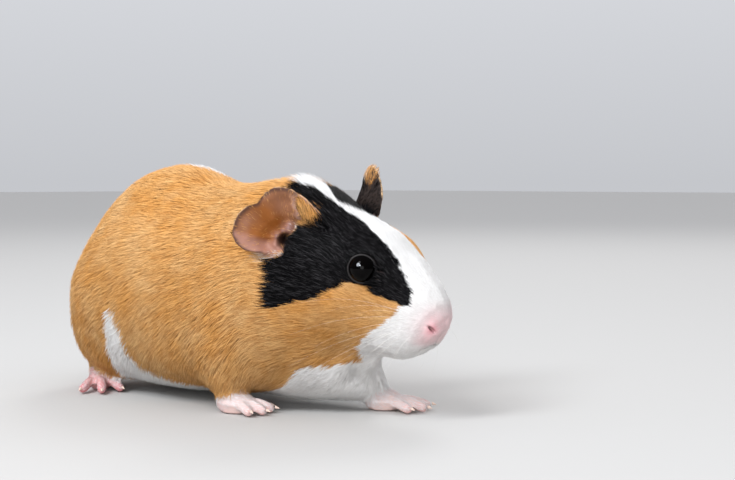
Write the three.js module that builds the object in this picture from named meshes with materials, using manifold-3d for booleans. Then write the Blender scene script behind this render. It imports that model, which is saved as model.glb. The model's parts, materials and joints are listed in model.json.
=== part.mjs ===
// A life-size model of a young adult smooth-coated guinea pig, standing in mid-step with its head
// turned a little to its left and held low. The solids reach out to the tips of the coat.
// Millimetres. +X runs forward along the trunk, +Y to the animal's left, +Z up, and the floor is z = 0.
import * as THREE from 'three';
import { mergeVertices } from 'three/addons/utils/BufferGeometryUtils.js';
import Module from 'manifold-3d';

const wasm = await Module();
wasm.setup();

// Driving dimensions
const gap = 0.3; // between neighbouring nodes
const blendBody = 11; // how softly one mass of the trunk runs into the next
const blendHead = 6;
const blendNape = 12;
const headPlace = [64.3, 0.7, 69.4]; // midway between the ear canals
const headTurn = 9; // degrees to the animal's left
const headDrop = 22; // degrees nose down
const headTilt = 3.5; // degrees, the crown towards the animal's right
const eyeRadius = 5.8;
const eyePlace = [33.8, 14, 2.2]; // in the head's own frame, on the animal's left
const earPlace = [-1, 19.5, 0]; // the ear canal, in the same frame
const earRadius = 19;
const earThickness = 1.5;
const earCup = 7.5; // how far the rim of an ear stands out from its middle
const toeRadius = 2.5;
const clawLength = 3.7;
const clawRadius = 1.05;

const palette = {
  orange: { color: 0xc98a4b, roughness: 0.8 },
  black: { color: 0x1d1b1c, roughness: 0.7 },
  white: { color: 0xe9e2da, roughness: 0.8 },
  skin: { color: 0xdba7a0, roughness: 0.55 },
  ear: { color: 0xa8705c, roughness: 0.6 },
  eye: { color: 0x0b0a0c, roughness: 0.08 },
  claw: { color: 0xe6cfc2, roughness: 0.35 },
};

const V = (x, y, z) => new THREE.Vector3(x, y, z);
const rad = THREE.MathUtils.degToRad;
const { clamp, lerp, smoothstep } = THREE.MathUtils;

// ---- Fields: functions that give the distance from a point to a soft form, negative inside it ----

// A frame placed at `at`, turned left by yaw, nose down by pitch and rolled, in degrees.
function frameAt(at, { yaw = 0, pitch = 0, roll = 0 } = {}) {
  const turned = new THREE.Euler(rad(roll), rad(pitch), rad(yaw), 'ZYX');
  return new THREE.Matrix4().makeRotationFromEuler(turned).setPosition(...at);
}

// An ellipsoid with half sizes `size`.
function mass(at, size, turn) {
  const inverse = frameAt(at, turn).invert();
  const once = V(...size);
  const twice = once.clone().multiply(once);
  const local = V(0, 0, 0);
  return (p) => {
    local.copy(p).applyMatrix4(inverse);
    const near = local.clone().divide(once).length();
    if (near < 1e-6) return -Math.min(...size);
    return (near * (near - 1)) / local.clone().divide(twice).length();
  };
}

// A tapered limb with round ends.
function limb(from, to, startRadius, endRadius) {
  const a = V(...from);
  const along = V(...to).sub(a);
  return (p) => {
    const offset = p.clone().sub(a);
    const t = clamp(offset.dot(along) / along.lengthSq(), 0, 1);
    return offset.addScaledVector(along, -t).length() - lerp(startRadius, endRadius, t);
  };
}

// Forms that run into each other over the distance `soft`.
const blend = (soft, ...forms) => (p) =>
  forms.reduce((held, form) => {
    const next = form(p);
    const mix = Math.max(soft - Math.abs(held - next), 0) / soft;
    return Math.min(held, next) - (mix * mix * soft) / 4;
  }, 1e3);

// The same form on both sides of the plane y = 0, given on the left.
const paired = (form) => (p) => form(V(p.x, Math.abs(p.y), p.z));

// A form given in a frame of its own.
function placed(frame, form) {
  const inverse = frame.clone().invert();
  return (p) => form(p.clone().applyMatrix4(inverse));
}

const headFrame = frameAt(headPlace, { yaw: headTurn, pitch: headDrop, roll: headTilt });
const inHead = (x, y, z) => V(x, y, z).applyMatrix4(headFrame);

const headForm = blend(
  blendHead,
  mass([5, 0, -3], [30, 21, 20.5]), // skull
  mass([28, 0, 0], [23, 16, 17], { pitch: 4 }), // forehead
  mass([46.5, 0, -5], [19, 12, 15], { pitch: 20 }), // nose bridge
  mass([58.5, 0, -8], [8.5, 8, 9]), // nose
  paired(mass([53, 5.5, -16], [10.5, 7.5, 9.5])), // whisker pad
  mass([46.5, 0, -22.5], [12, 9, 7]), // chin
  mass([26, 0, -20], [25, 16.5, 13.5]), // jaw
  paired(mass([11, 12, -14], [24, 12.5, 19])), // cheek
  paired(mass([34, 7.5, -8], [15, 8, 12])), // side of the face
  paired(mass([32, 8.5, 2], [13, 8.5, 9])), // brow
);

const trunkForm = blend(
  blendBody,
  mass([-34, 0, 43], [38, 32, 37.5], { pitch: -6 }), // rump
  mass([-14, 0, 54], [46, 35, 44]), // back
  mass([-4, 0, 41], [56, 38.5, 37.5]), // belly
  mass([2, 0, 18.8], [44, 35, 14.5]), // underside
  mass([30, 0, 49], [42, 31, 41]), // chest
  mass([54, 0, 25], [25, 20, 21]), // breast
  mass([67, 10, 15], [22, 15, 13]), // between the forelegs
  mass([54, 0, 60], [30, 24, 31]), // neck
  paired(mass([42, 19, 38], [22, 13, 27])), // shoulder
  mass([37, -22, 24], [13, 11, 16]), // right elbow
  mass([62, 19, 25], [15, 11, 15], { pitch: 20 }), // left elbow
  paired(mass([-38, 22, 33], [26, 14, 27])), // thigh
);

const bodyForm = blend(blendNape, trunkForm, placed(headFrame, headForm));

// ---- Solids ----

// A geometry with shared vertices and no collapsed faces.
function closed(geometry) {
  const bare = geometry.clone();
  bare.deleteAttribute('normal');
  bare.deleteAttribute('uv');
  const merged = mergeVertices(bare, 1e-4);
  const kept = [];
  const index = merged.index.array;
  for (let i = 0; i < index.length; i += 3) {
    const [a, b, c] = index.slice(i, i + 3);
    if (a !== b && b !== c && c !== a) kept.push(a, b, c);
  }
  return merged.setIndex(kept);
}

// Moves every vertex of a geometry by a function from point to point.
function shaped(geometry, move) {
  const places = geometry.attributes.position;
  for (let i = 0; i < places.count; i += 1) {
    const moved = move(V(0, 0, 0).fromBufferAttribute(places, i));
    places.setXYZ(i, moved.x, moved.y, moved.z);
  }
  return geometry;
}

// The same geometry on the other side of the plane y = 0, its faces still pointing out.
function mirrored(geometry) {
  const other = geometry.clone().scale(1, -1, 1);
  const index = other.index.array;
  for (let i = 0; i < index.length; i += 3) {
    [index[i], index[i + 1]] = [index[i + 1], index[i]];
  }
  return other;
}

function solid(geometry) {
  const clean = closed(geometry);
  const mesh = new wasm.Mesh({
    numProp: 3,
    vertProperties: new Float32Array(clean.attributes.position.array),
    triVerts: new Uint32Array(clean.index.array),
  });
  return new wasm.Manifold(mesh);
}

// Wraps a capsule round a spine on to the surface of a field, `out` millimetres clear of it.
// A ray that is still inside after `reach` millimetres stops there.
function wrap(form, spine, { around, along, cap, reach }, out = 0) {
  const surface = (origin, direction) => {
    const at = (t) => form(origin.clone().addScaledVector(direction, t)) - out;
    let inside = 0;
    let outside = 0.4;
    while (at(outside) < 0 && outside < reach) {
      inside = outside;
      outside += Math.max(0.4, -0.8 * at(outside));
    }
    if (outside >= reach) return origin.clone().addScaledVector(direction, reach);
    for (let i = 0; i < 14; i += 1) {
      const middle = (inside + outside) / 2;
      if (at(middle) < 0) inside = middle;
      else outside = middle;
    }
    return origin.clone().addScaledVector(direction, outside);
  };
  const start = closed(new THREE.CapsuleGeometry(1, 1, cap, around, along));
  return shaped(start, (v) => {
    const t = clamp(v.y + 0.5, 0, 1);
    const forward = spine.getTangent(t);
    const side = forward.clone().cross(V(0, 0, 1)).normalize();
    const up = side.clone().cross(forward);
    const direction = side.multiplyScalar(v.x)
      .addScaledVector(forward, v.y - (t - 0.5))
      .addScaledVector(up, v.z)
      .normalize();
    return surface(spine.getPoint(t), direction);
  });
}

const curve = (...points) => new THREE.CatmullRomCurve3(points);

const box = (low, high) => {
  const size = V(...high).sub(V(...low));
  const centre = V(...low).addScaledVector(size, 0.5);
  return new THREE.BoxGeometry(...size.toArray()).translate(...centre.toArray());
};

const ellipsoid = (at, size, turn) => new THREE.SphereGeometry(1, 16, 10)
  .scale(...size)
  .applyMatrix4(frameAt(at, turn));

const union = (solids) => solids.reduce((joined, next) => joined.add(next));

// Everything in front of the plane x = `from` of a frame.
const ahead = (frame, from = 0) => solid(box([from, -200, -200], [400, 200, 200]).applyMatrix4(frame));

// ---- Trunk and head, wrapped separately and parted behind the ears and jaw ----
// Those grown by the gap cut what lies against them.

const trunkSpine = curve(V(-46, 0, 46), V(-20, 0, 50), V(8, 0, 51), V(32, 0, 52), V(48, 0, 56));
const headSpine = curve(inHead(6, 0, -11), inHead(21, 0, -11), inHead(37, 0, -12), inHead(52, 0, -13));
const trunkGrain = { around: 24, along: 20, cap: 5, reach: 60 };
const headGrain = { around: 22, along: 15, cap: 5, reach: 46 };
const nape = headFrame.clone().multiply(frameAt([7, 0, -8], { pitch: -38 }));

const trunkWrap = solid(wrap(bodyForm, trunkSpine, trunkGrain));
const headWrap = solid(wrap(bodyForm, headSpine, headGrain));
const grownHead = solid(wrap(bodyForm, headSpine, headGrain, gap));
const grownBody = grownHead.add(solid(wrap(bodyForm, trunkSpine, trunkGrain, gap)));

// ---- Legs and feet ----

// `root` lies inside the body, `foot` is the middle of the sole and `heading` the way the toes point,
// spread further where `stretch` says so.
// `share` is the ellipsoid that the leg takes out of the body.
const legs = {
  fore_right: {
    root: [38, -20, 26], foot: [46.5, -23.5], heading: 20,
    share: [[42, -28, 20], [20, 15, 27]],
  },
  fore_left: {
    root: [62, 17, 24], foot: [84, 21], heading: 28, stretch: 1.3,
    share: [[65, 24, 20], [26, 17, 27], { pitch: -15 }],
  },
  hind_right: {
    root: [-44, -18, 24], foot: [-44, -24], heading: -34,
    share: [[-51, -23, 21], [30, 21, 29]],
  },
  hind_left: {
    root: [-38, 18, 24], foot: [-32, 25], heading: 26,
    share: [[-44, 23, 21], [30, 21, 29]],
  },
};

// Everything is in the foot's own frame, with x towards the toes. `radii` are those of the limb at its
// root and at the ankle, and a toe is [knuckle x, y, z, heading, length].
const feet = {
  fore: {
    palm: [mass([0, 0, 3.6], [7, 6.4, 4.6]), mass([-5, 0, 5], [5, 5.2, 6])],
    spine: [[-4, 0, 4.2], [3, 0, 3.6]],
    ankle: [-5, 0, 8],
    radii: [9, 5.5],
    toes: [[3.5, 4.4, 3.4, 42, 5], [5, 1.8, 3.8, 15, 6.5], [5, -1.8, 3.8, -10, 6.5], [3.5, -4.4, 3.4, -34, 5]],
  },
  hind: {
    palm: [mass([0, 0, 3.6], [10, 6.2, 4.6]), mass([-14, 0, 4.6], [11, 4.8, 5.6])],
    spine: [[-15, 0, 4.2], [-5, 0, 4], [5, 0, 3.6]],
    ankle: [-19, 0, 8],
    radii: [9, 5],
    toes: [[6.5, 4.2, 3.8, 26, 8], [8, 0, 4.2, 0, 9.5], [6.5, -4.2, 3.8, -26, 8]],
  },
};

const limbGrain = { around: 12, along: 4, cap: 2, reach: 16 };
const palmGrain = { around: 10, along: 3, cap: 2, reach: 22 };
const toeGrain = { around: 7, along: 3, cap: 2, reach: 22 };
const floorCut = solid(box([-200, -200, -60], [200, 200, 0]));

const kindOf = (name) => feet[name.split('_')[0]];
const footFrame = (name) => frameAt([...legs[name].foot, 0], { yaw: legs[name].heading });

// The bone of one toe: from inside the palm over the knuckle to the tip.
function toeBone(name, [x, y, z, heading, length]) {
  const frame = footFrame(name);
  const stretch = legs[name].stretch ?? 1;
  const point = (share, height) => {
    const along = share * length * stretch;
    return V(x * stretch + along * Math.cos(rad(heading)), y + along * Math.sin(rad(heading)), height)
      .applyMatrix4(frame);
  };
  return curve(point(-0.3, z), point(0.3, z), point(0.7, z * 0.75), point(1, toeRadius * 0.85));
}

// A row of balls along the bone, a little smaller towards the tip.
function toeForm(bone) {
  const balls = bone.getPoints(6).map((at, i) => ({ at, radius: toeRadius * (1 - 0.02 * i) }));
  return (p) => Math.min(...balls.map(({ at, radius }) => p.distanceTo(at) - radius));
}

function foot(name, out = 0) {
  const frame = footFrame(name);
  const { palm, spine, toes } = kindOf(name);
  const sole = curve(...spine.map((point) => V(...point).applyMatrix4(frame)));
  const bones = toes.map((place) => toeBone(name, place));
  return union([
    solid(wrap(placed(frame, blend(4, ...palm)), sole, palmGrain, out)),
    ...bones.map((bone) => solid(wrap(toeForm(bone), bone, toeGrain, out))),
  ]).subtract(floorCut);
}

// The limb sinks into the trunk a little under its surface.
function limbOf(name) {
  const { ankle, radii } = kindOf(name);
  const { root } = legs[name];
  const end = V(...ankle).applyMatrix4(footFrame(name)).toArray();
  const under = (p) => trunkForm(p) + 0.8;
  const bone = curve(V(...root), V(...root).lerp(V(...end), 0.5), V(...end));
  return solid(wrap(blend(blendHead, limb(root, end, ...radii), under), bone, limbGrain));
}

// A claw grows from the tip of a toe, forward and down.
function claw(bone) {
  const forward = bone.getTangent(1);
  const yaw = THREE.MathUtils.radToDeg(Math.atan2(forward.y, forward.x));
  const tip = frameAt(bone.getPoint(1).toArray(), { yaw });
  const cone = new THREE.ConeGeometry(clawRadius, clawLength, 6, 2).rotateZ(-Math.PI / 2);
  return shaped(closed(cone), (v) => {
    const along = v.x + clawLength / 2;
    return V(along + 1.2, v.y, v.z + 0.5 - 0.07 * along * along).applyMatrix4(tip);
  });
}

// ---- Ears and eyes, on the left in the head's own frame ----

const earNormal = V(0.45, 0.88, 0.12).normalize();
const earForward = V(1, 0, 0).projectOnPlane(earNormal).normalize();
const earDown = earNormal.clone().cross(earForward);

// How far the rim of the flap lies from the ear canal, for an angle in degrees up from the nose: a
// round flap, closed towards the cheek, with a top lobe and a notch behind it.
function earReach(angle) {
  const bump = (middle, width) => Math.exp(-(((angle - middle) / width) ** 2));
  const open = smoothstep(angle, -30, 45) * (1 - smoothstep(angle, 192, 262));
  return earRadius * (0.25 + 0.75 * open) * (1 + 0.1 * bump(108, 22) - 0.14 * bump(141, 12));
}

function earFlap({ lift, pricked, swung }) {
  const canal = V(...earPlace).add(V(lift / 2, 0, lift));
  const forward = earForward.clone().applyAxisAngle(earDown, rad(swung));
  const facing = earNormal.clone().applyAxisAngle(earDown, rad(swung));
  const disc = closed(new THREE.SphereGeometry(1, 28, 8).rotateX(Math.PI / 2));
  return shaped(disc, (v) => {
    const out = Math.min(Math.hypot(v.x, v.y), 1);
    const turn = Math.atan2(-v.y, v.x);
    const angle = THREE.MathUtils.radToDeg(turn) + pricked;
    const reach = out * earReach(angle < -90 ? angle + 360 : angle);
    const half = (earThickness / 2) * Math.sign(v.z) * Math.abs(v.z) ** 0.6;
    const height = earCup * (out ** 0.8 - 0.2) + half;
    return canal.clone()
      .addScaledVector(forward, reach * Math.cos(turn))
      .addScaledVector(earDown, -reach * Math.sin(turn))
      .addScaledVector(facing, height);
  });
}

const eyeball = (radius) => new THREE.SphereGeometry(radius, 16, 10).translate(...eyePlace);

// The left ear stands higher than the right one, laid back and swung to the front.
const ears = {
  right: { lift: 0, pricked: 0, swung: 0 },
  left: { lift: 7.5, pricked: -12, swung: 12 },
};
const sides = Object.keys(ears);

function onHead(side, geometry) {
  const clean = closed(geometry);
  return solid((side === 'right' ? mirrored(clean) : clean).applyMatrix4(headFrame));
}

// ---- The parts ----

const animal = new THREE.Group();
const named = (name, piece) => name.replace('_', `_${piece}_`);

function add(name, made, material) {
  const { vertProperties, triVerts } = made.getMesh();
  const geometry = new THREE.BufferGeometry();
  geometry.setAttribute('position', new THREE.BufferAttribute(vertProperties, 3));
  geometry.setIndex(new THREE.BufferAttribute(triVerts, 1));
  geometry.computeVertexNormals();
  const mesh = new THREE.Mesh(geometry, new THREE.MeshStandardMaterial(material));
  mesh.name = name;
  animal.add(mesh);
}

const legNames = Object.keys(legs);
const grownFeet = union(legNames.map((name) => foot(name, gap)));

// Head
const jawBlock = (grow) => solid(
  box([18 - grow, -60, -80], [90, 60, -21.5 + grow]).applyMatrix4(headFrame),
);
const sockets = union(sides.map((side) => onHead(side, eyeball(eyeRadius + gap))));
const wholeHead = headWrap.intersect(ahead(nape, gap / 2)).subtract(sockets);
add('head', wholeHead.subtract(jawBlock(gap)), palette.black);
add('lower_jaw', wholeHead.intersect(jawBlock(0)), palette.white);

// Neck, trunk, hindquarters and legs
let torso = union([trunkWrap.subtract(ahead(nape, -gap / 2)), ...legNames.map(limbOf)])
  .subtract(grownHead.intersect(ahead(nape, -gap / 2)))
  .subtract(grownFeet);
legNames.forEach((name) => {
  const [at, size, turn] = legs[name].share;
  const share = (grow) => solid(ellipsoid(at, size.map((half) => half + grow), turn));
  const colour = name === 'fore_left' ? palette.white : palette.orange;
  add(named(name, 'leg'), torso.intersect(share(0)), colour);
  torso = torso.subtract(share(gap));
});
const neckFrame = frameAt([40, 0, 0]);
const loinFrame = frameAt([-16, 0, 0]);
const behindNeck = torso.subtract(ahead(neckFrame, -gap / 2));
add('neck', torso.intersect(ahead(neckFrame, gap / 2)), palette.orange);
add('trunk', behindNeck.intersect(ahead(loinFrame, gap / 2)), palette.orange);
add('hindquarters', behindNeck.subtract(ahead(loinFrame, -gap / 2)), palette.orange);

// Feet and claws
legNames.forEach((name) => {
  const grown = foot(name, gap);
  add(named(name, 'foot'), foot(name), palette.skin);
  kindOf(name).toes.forEach((place, i) => {
    const made = solid(claw(toeBone(name, place))).subtract(grown);
    add(`${named(name, 'claw')}_${i + 1}`, made, palette.claw);
  });
});

// Ears and eyes
sides.forEach((side) => {
  add(`ear_${side}`, onHead(side, earFlap(ears[side])).subtract(grownBody), palette.ear);
  add(`eye_${side}`, onHead(side, eyeball(eyeRadius)), palette.eye);
});

// The origin is the middle of the model's box, on the floor.
const middle = new THREE.Box3().setFromObject(animal, true).getCenter(V(0, 0, 0));
animal.position.set(-middle.x, -middle.y, 0);

export default animal;
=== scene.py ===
import json
import math

import bmesh
import bpy
import numpy as np
from mathutils import Euler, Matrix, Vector
from mathutils.bvhtree import BVHTree

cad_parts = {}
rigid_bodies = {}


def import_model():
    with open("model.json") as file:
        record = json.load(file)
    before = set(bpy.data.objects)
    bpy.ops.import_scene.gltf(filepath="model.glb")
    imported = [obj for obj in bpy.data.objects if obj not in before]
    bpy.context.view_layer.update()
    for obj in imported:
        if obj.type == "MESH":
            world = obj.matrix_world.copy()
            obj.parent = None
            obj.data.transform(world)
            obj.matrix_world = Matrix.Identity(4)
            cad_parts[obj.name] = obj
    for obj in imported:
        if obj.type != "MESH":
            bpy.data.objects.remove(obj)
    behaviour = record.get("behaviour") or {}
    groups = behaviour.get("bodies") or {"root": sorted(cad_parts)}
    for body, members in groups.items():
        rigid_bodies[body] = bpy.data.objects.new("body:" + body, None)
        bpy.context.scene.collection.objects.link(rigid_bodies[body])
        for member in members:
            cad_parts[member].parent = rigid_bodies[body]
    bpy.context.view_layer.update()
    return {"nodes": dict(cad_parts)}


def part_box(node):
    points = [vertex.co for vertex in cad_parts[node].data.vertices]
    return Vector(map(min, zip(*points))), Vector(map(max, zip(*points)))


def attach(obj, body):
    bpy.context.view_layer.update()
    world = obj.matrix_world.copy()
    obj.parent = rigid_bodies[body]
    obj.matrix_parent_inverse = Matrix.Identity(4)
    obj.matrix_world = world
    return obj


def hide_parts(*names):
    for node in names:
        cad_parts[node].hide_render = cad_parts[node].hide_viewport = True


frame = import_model()
mm = 0.001
print("frame loaded")

legNames = ["fore_right", "fore_left", "hind_right", "hind_left"]
bodyNodes = ["neck", "trunk", "hindquarters"]
headNodes = ["head", "lower_jaw"]
earNodes = ["ear_right", "ear_left"]
eyeNodes = ["eye_right", "eye_left"]
footNodes = [name.replace("_", "_foot_") for name in legNames]
limbNodes = [name.replace("_", "_leg_") for name in legNames]
fleshNodes = bodyNodes + headNodes + earNodes + limbNodes + footNodes
clawNodes = sorted(name for name in frame["nodes"] if "_claw_" in name)

# The head's own frame: x to the nose, y to the animal's left, z to the crown, with its origin midway
# between the ear canals.
headShape = {
    "turn": 9.0, "drop": 22.0, "tilt": 3.5,  # degrees
    "eyeForward": 0.0338, "eyeUp": 0.0022, "eyeRadius": 0.0058,
}


def middleOf(node):
    low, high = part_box(node)
    return np.array((low + high) / 2)


eyeMiddles = {node: middleOf(node) for node in eyeNodes}
headAxes = np.array(Euler([math.radians(headShape[k]) for k in ("tilt", "drop", "turn")]).to_matrix())
headOrigin = sum(eyeMiddles.values()) / 2 - headAxes @ [headShape["eyeForward"], 0, headShape["eyeUp"]]


def toHead(points):
    return (points - headOrigin) @ headAxes


def fromHead(points):
    return headOrigin + np.asarray(points) @ headAxes.T


def unit(vectors):
    return vectors / np.maximum(np.linalg.norm(vectors, axis=-1, keepdims=True), 1e-12)


def ramp(value, start, end):  # 0 before start, 1 after end, smooth between
    share = np.clip((value - start) / (end - start), 0, 1)
    return share * share * (3 - 2 * share)


def bump(value, middle, width):
    return np.exp(-(((value - middle) / width) ** 2))


def blob(*axes):  # a bump along several distances, each given with its size
    return np.exp(-sum((distance / size) ** 2 for distance, size in axes))


def noise(points, size, seed):  # smooth, from 0 to 1
    place = points / size + 31.7 * seed
    cell = np.floor(place).astype(np.int64)
    share = place - cell
    share = share * share * (3 - 2 * share)
    total = np.zeros(len(points))
    for corner in np.ndindex(2, 2, 2):
        key = (cell + corner) @ np.array([73856093, 19349663, 83492791]) & 0xFFFFFFFF
        key = (key ^ (key >> 15)) * 2246822519 & 0xFFFFFFFF
        key = (key ^ (key >> 13)) * 3266489917 & 0xFFFFFFFF
        weight = np.prod(np.where(corner, share, 1 - share), axis=1)
        total += weight * ((key ^ (key >> 16)) / 0xFFFFFFFF)
    return total


def readArray(items, key, width=3, kind=np.float32):
    flat = np.empty(len(items) * width, kind)
    items.foreach_get(key, flat)
    return flat.reshape(-1, width) if width > 1 else flat


def pointsOf(mesh):
    return readArray(mesh.vertices, "co").astype(float)


def normalsOf(mesh):
    return readArray(mesh.vertex_normals, "vector").astype(float)


def setPoints(mesh, points):
    mesh.vertices.foreach_set("co", points.astype(np.float32).ravel())
    mesh.update()


def relax(values, ends, rounds, share=0.5):  # each round moves a value towards its neighbours'
    one, other = ends.T
    count = len(values)
    around = np.maximum(np.bincount(one, minlength=count) + np.bincount(other, minlength=count), 1)
    columns = np.array(values, float).reshape(count, -1).T.copy()
    for _ in range(rounds):
        for column in columns:
            total = np.bincount(one, column[other], count) + np.bincount(other, column[one], count)
            column += share * (total / around - column)
    return columns.T.reshape(np.shape(values))


def evaluated(piece):
    graph = bpy.context.evaluated_depsgraph_get()
    return bpy.data.meshes.new_from_object(piece.evaluated_get(graph))


def pieceFrom(name, mesh):
    piece = bpy.data.objects.new(name, mesh)
    bpy.context.scene.collection.objects.link(piece)
    return piece


def store(mesh, name, values, kind="FLOAT", domain="POINT"):
    key = {"FLOAT": "value", "INT": "value", "FLOAT_VECTOR": "vector", "FLOAT2": "vector"}[kind]
    attribute = mesh.attributes.new(name, kind, domain)
    attribute.data.foreach_set(key, np.asarray(values, np.int32 if kind == "INT" else np.float32).ravel())


skinSize = {
    "join": 0.35 * mm,  # how far the solids swell to close the gaps between them
    "grain": 0.55 * mm,  # of the remesh
    "kept": 0.25,  # share of the faces that stays
    "smoothBody": 40,  # rounds
    "smoothFine": 8,
    "fineHead": (46 * mm, 54 * mm),  # in front of these the head keeps all its faces
    "fineEye": 9 * mm,
}


def mergedFlesh():
    joined = bmesh.new()
    for node in fleshNodes + eyeNodes:
        solid = bmesh.new()
        solid.from_mesh(frame["nodes"][node].data)
        bmesh.ops.remove_doubles(solid, verts=solid.verts, dist=0.01 * mm)
        solid.normal_update()
        for vertex in solid.verts:
            vertex.co += vertex.normal * skinSize["join"]
        mesh = bpy.data.meshes.new("flesh")
        solid.to_mesh(mesh)
        solid.free()
        joined.from_mesh(mesh)
        bpy.data.meshes.remove(mesh)
    mesh = bpy.data.meshes.new("flesh")
    joined.to_mesh(mesh)
    joined.free()
    return mesh


def insideBox(points, node, margin):
    low, high = (np.array(corner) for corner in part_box(node))
    return np.all((points > low - margin) & (points < high + margin), axis=1)


def remeshed(mesh):
    piece = pieceFrom("flesh", mesh)
    remesh = piece.modifiers.new("remesh", "REMESH")
    remesh.mode = "VOXEL"
    remesh.voxel_size = skinSize["grain"]
    fine = evaluated(piece)
    piece.modifiers.clear()
    piece.data = fine
    points = pointsOf(fine)
    ends = readArray(fine.edges, "vertices", 2, np.int32)
    kept = np.zeros(len(points))
    for node in footNodes + earNodes:
        kept[insideBox(points, node, 0.8 * mm)] = 1
    kept = np.maximum(kept, ramp(toHead(points)[:, 0], *skinSize["fineHead"]))
    for middle in eyeMiddles.values():
        kept[np.linalg.norm(points - middle, axis=1) < skinSize["fineEye"]] = 1
    group = piece.vertex_groups.new(name="coarse")
    coarse = 1 - relax(kept, ends, 6)
    for level in range(11):
        group.add(np.nonzero(np.round(coarse * 10) == level)[0].tolist(), level / 10, "REPLACE")
    thin = piece.modifiers.new("thin", "DECIMATE")
    thin.vertex_group = "coarse"
    thin.ratio = skinSize["kept"]
    skin = evaluated(piece)
    bpy.data.objects.remove(piece)
    return skin


skinMesh = remeshed(mergedFlesh())
print("flesh joined and meshed anew")

partNodes = fleshNodes + eyeNodes


def nearestParts(points):
    corners, faces, owners = [], [], []
    for index, node in enumerate(partNodes):
        data = frame["nodes"][node].data
        start = len(corners)
        corners += [vertex.co for vertex in data.vertices]
        faces += [[start + corner for corner in face.vertices] for face in data.polygons]
        owners += [index] * len(data.polygons)
    tree = BVHTree.FromPolygons(corners, faces)
    return np.array([owners[tree.find_nearest(point)[2]] for point in points])


def belonging(nodes):
    return np.isin(partOf, [partNodes.index(node) for node in nodes])


def shareOf(nodes, rounds):  # 1 on these nodes, fading over their edges
    return relax(belonging(nodes).astype(float), skinEnds, rounds)


# In the head's own frame and in millimetres, on its left. The left ear stands higher, laid back and swung
# to the front by these degrees.
earShape = {
    "canal": (-1, 19.5, 0),
    "normal": (0.45, 0.88, 0.12),
    "rim": 19.0,
    "lift": {"right": 0, "left": 7.5},
    "pricked": {"right": 0, "left": -12},
    "swung": {"right": 0, "left": 12},
}


# The ear's forward, down and outward, on the left of the head's own frame.
def earFrame(side):
    out = unit(np.array(earShape["normal"]))
    ahead = unit(np.array([1, 0, 0]) - out[0] * out)
    swing = math.radians(earShape["swung"][side])
    forward = ahead * math.cos(swing) - out * math.sin(swing)
    return forward, np.cross(out, ahead), out * math.cos(swing) + ahead * math.sin(swing)


# The ear's forward, down and outward in the model's frame.
def earAxes(side):
    return [headAxes @ (axis * [1, -1 if side == "right" else 1, 1]) for axis in earFrame(side)]


def earFacing(side):
    return earAxes(side)[2]


# Places on one ear in millimetres: forward, down and out from the canal, and the angle up from the nose.
def earPlaces(points, side):
    place = toHead(points) / mm
    if side == "right":
        place[:, 1] *= -1
    ahead, down, out = earFrame(side)
    lift = earShape["lift"][side]
    place = place - earShape["canal"] - np.array([lift / 2, 0, lift])
    forward, lower, outward = place @ ahead, place @ down, place @ out
    angle = np.degrees(np.arctan2(-lower, forward)) + earShape["pricked"][side]
    return forward, lower, outward, np.where(angle < -90, angle + 360, angle)


# How deep the coat is, in millimetres.
coatDepths = {
    "body": 2.7, "belly": 2.0, "leg": 1.1, "foot": 0.25, "ear": 0.1, "lid": 0.7,
    "legFade": (9, 24),  # heights between which the leg's depth becomes the body's
    "lidFade": (8, 13),  # distances from the middle of an eye
    "alongHead": [4, 18, 34, 50, 60], "head": [2.3, 1.9, 1.2, 0.8, 0.4],  # towards the nose
}


def depthOver(points, normals):
    belly = ramp(-normals[:, 2], 0.3, 0.9)
    body = coatDepths["body"] + (coatDepths["belly"] - coatDepths["body"]) * belly
    onHead = np.interp(toHead(points)[:, 0] / mm, coatDepths["alongHead"], coatDepths["head"])
    fade = ramp(points[:, 2], *(height * mm for height in coatDepths["legFade"]))
    depth = np.where(belonging(headNodes + eyeNodes), onHead, body)
    depth = np.where(belonging(limbNodes), coatDepths["leg"] + (body - coatDepths["leg"]) * fade, depth)
    for middle in eyeMiddles.values():
        far = np.linalg.norm(points - middle, axis=1)
        near = 1 - ramp(far, *(distance * mm for distance in coatDepths["lidFade"]))
        depth = depth + (coatDepths["lid"] - depth) * near
    depth = np.where(belonging(footNodes), coatDepths["foot"], depth)
    depth = np.where(belonging(earNodes), coatDepths["ear"], depth)
    return relax(depth, skinEnds, 14)


def triangulated(mesh):
    cut = bmesh.new()
    cut.from_mesh(mesh)
    bmesh.ops.triangulate(cut, faces=cut.faces)
    bmesh.ops.delete(cut, geom=[vertex for vertex in cut.verts if not vertex.link_faces])
    cut.to_mesh(mesh)
    cut.free()


triangulated(skinMesh)
skinEnds = readArray(skinMesh.edges, "vertices", 2, np.int32)
points = pointsOf(skinMesh)
outerFaces = readArray(skinMesh.polygons, "vertices", 3, np.int32).tolist()
outerTree = BVHTree.FromPolygons([Vector(place) for place in points], outerFaces)


# How far each place lies under the surface of the solids.
def coverOver(places):
    return np.array([outerTree.find_nearest(place)[3] for place in places]) - skinSize["join"]


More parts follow.
